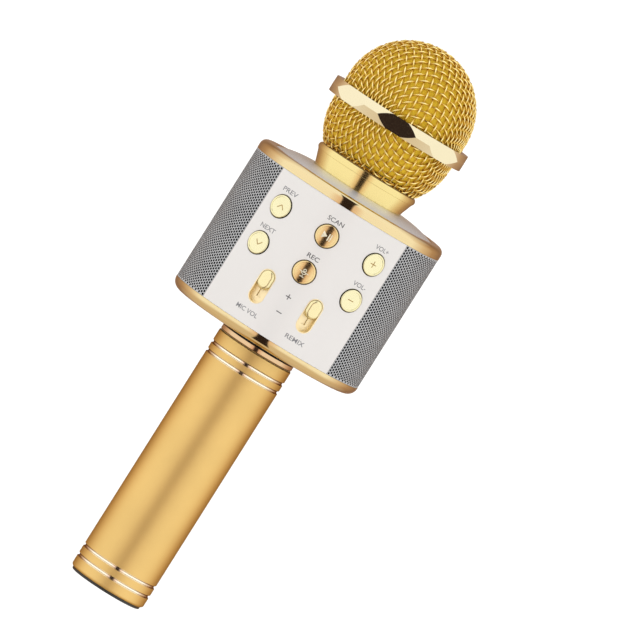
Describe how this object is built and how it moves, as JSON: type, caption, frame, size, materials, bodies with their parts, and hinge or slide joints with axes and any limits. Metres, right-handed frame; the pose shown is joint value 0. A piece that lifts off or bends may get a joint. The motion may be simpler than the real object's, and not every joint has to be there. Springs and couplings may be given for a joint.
{
  "type": "karaoke microphone",
  "caption": "Hand-held karaoke microphone with a woven grille ball, a loudspeaker drum with buttons and sliders on its front panel, and a screw-off handle that holds a battery.",
  "frame": {"origin": "centre of the tail's flat end", "axes": "+Z along the microphone from the tail to the grille head; the control panel faces -Y; +X is to the right of someone looking at the panel"},
  "size_m": [0.083, 0.0841, 0.2479],
  "materials": {
    "satin_gold": "satin anodised gold, fine bead-blast grain",
    "polished_gold": "gold electroplate, polished",
    "gold_wire": "gold plated woven wire",
    "yellow_foam": "open-cell foam",
    "pearl_plastic": "satin gloss, off-white",
    "white_plastic": "satin gloss, cool white",
    "black_plastic": "fine matt texture",
    "black_rubber": "matt",
    "silver_mesh": "satin painted perforated sheet",
    "steel": "bright steel",
    "black_steel": "black coated steel",
    "brass": "turned",
    "board": "solder-masked circuit board",
    "cell_wrap": "shrink wrap",
    "paper": "pressed paper cone",
    "capsule_metal": "spun can"
  },
  "bodies": {
    "drum": {"audio_jack": "black_plastic", "back_panel": "pearl_plastic", "battery_cell": "cell_wrap", "battery_contact": "steel", "battery_spring": "steel", "battery_tray": "black_plastic", "bottom_band": "polished_gold", "bottom_cover": "black_plastic", "capsule_cradle": "black_rubber", "capsule_post": "black_plastic", "charge_port": "steel", "chassis": "black_plastic", "clamp_screws": "steel", "collar": "polished_gold", "cover_screws": "black_steel", "fader_bodies": "steel", "front_panel": "pearl_plastic", "key_board": "board", "main_board": "board", "mic_capsule": "capsule_metal", "neck_ring": "polished_gold", "neck_spigot": "black_plastic", "power_switch_body": "steel", "side_grille_left": "silver_mesh", "side_grille_right": "silver_mesh", "slider_tray_left": "polished_gold", "slider_tray_right": "polished_gold", "speaker_basket_left": "black_steel", "speaker_basket_right": "black_steel", "speaker_cone_left": "paper", "speaker_cone_right": "paper", "speaker_magnet_left": "steel", "speaker_magnet_right": "steel", "speaker_screws": "black_steel", "spigot_screws": "steel", "tact_switches": "black_plastic", "top_band": "polished_gold", "top_cover": "white_plastic", "tray_screws": "steel", "usb_port": "steel"},
    "handle_seal_ring": {"handle_seal": "black_rubber"},
    "handle": {"handle_tube": "satin_gold", "tail_plug": "black_plastic", "thread_insert": "brass"},
    "head_gasket_ring": {"head_gasket": "black_rubber"},
    "grille_head": {"grille_base_ring": "polished_gold", "grille_lower": "gold_wire", "facet_ring": "polished_gold", "grille_upper": "gold_wire", "windscreen_foam": "yellow_foam"},
    "power_switch": {"power_switch_knob": "black_plastic"},
    "left_slider": {"slider_left": "polished_gold"},
    "right_slider": {"slider_right": "polished_gold"},
    "previous_button": {"button_previous": "polished_gold"},
    "next_button": {"button_next": "polished_gold"},
    "play_button": {"button_play": "polished_gold"},
    "record_button": {"button_record": "polished_gold"},
    "volume_up_button": {"button_volume_up": "polished_gold"},
    "volume_down_button": {"button_volume_down": "polished_gold"}
  },
  "joints": [
    {"name": "handle_drop", "type": "slide", "parent": "drum", "child": "handle_seal_ring", "axis": [0, 0, -1], "range_m": [0, 0.0135]},
    {"name": "handle_unscrew", "type": "hinge", "parent": "handle_seal_ring", "child": "handle", "pos_m": [0, 0, 0.055], "axis": [0, 0, -1], "range_deg": [0, 3250]},
    {"name": "head_rise", "type": "slide", "parent": "drum", "child": "head_gasket_ring", "axis": [0, 0, 1], "range_m": [0, 0.0045]},
    {"name": "head_unscrew", "type": "hinge", "parent": "head_gasket_ring", "child": "grille_head", "pos_m": [0, 0, 0.192], "axis": [0, 0, 1], "range_deg": [0, 1090]},
    {"name": "previous_press", "type": "slide", "parent": "drum", "child": "previous_button", "axis": [0.509, 0.8607, 0], "range_m": [0, 0.0005], "stiffness_N_per_m": 350, "springref_m": -0.0005},
    {"name": "next_press", "type": "slide", "parent": "drum", "child": "next_button", "axis": [0.509, 0.8607, 0], "range_m": [0, 0.0005], "stiffness_N_per_m": 350, "springref_m": -0.0005},
    {"name": "play_press", "type": "slide", "parent": "drum", "child": "play_button", "axis": [0, 1, 0], "range_m": [0, 0.0005], "stiffness_N_per_m": 350, "springref_m": -0.0005},
    {"name": "record_press", "type": "slide", "parent": "drum", "child": "record_button", "axis": [0, 1, 0], "range_m": [0, 0.0005], "stiffness_N_per_m": 350, "springref_m": -0.0005},
    {"name": "volume_up_press", "type": "slide", "parent": "drum", "child": "volume_up_button", "axis": [-0.509, 0.8607, 0], "range_m": [0, 0.0005], "stiffness_N_per_m": 350, "springref_m": -0.0005},
    {"name": "volume_down_press", "type": "slide", "parent": "drum", "child": "volume_down_button", "axis": [-0.509, 0.8607, 0], "range_m": [0, 0.0005], "stiffness_N_per_m": 350, "springref_m": -0.0005},
    {"name": "left_slide", "type": "slide", "parent": "drum", "child": "left_slider", "axis": [0, 0, -1], "range_m": [0, 0.0058]},
    {"name": "right_slide", "type": "slide", "parent": "drum", "child": "right_slider", "axis": [0, 0, -1], "range_m": [0, 0.0058]},
    {"name": "power_slide", "type": "slide", "parent": "drum", "child": "power_switch", "axis": [1, 0, 0], "range_m": [0, 0.003]}
  ],
  "couplings": [
    {"joint": "handle_unscrew", "follows": "handle_drop", "rad_per_m": 4188.8},
    {"joint": "head_unscrew", "follows": "head_rise", "rad_per_m": 4188.8}
  ]
}
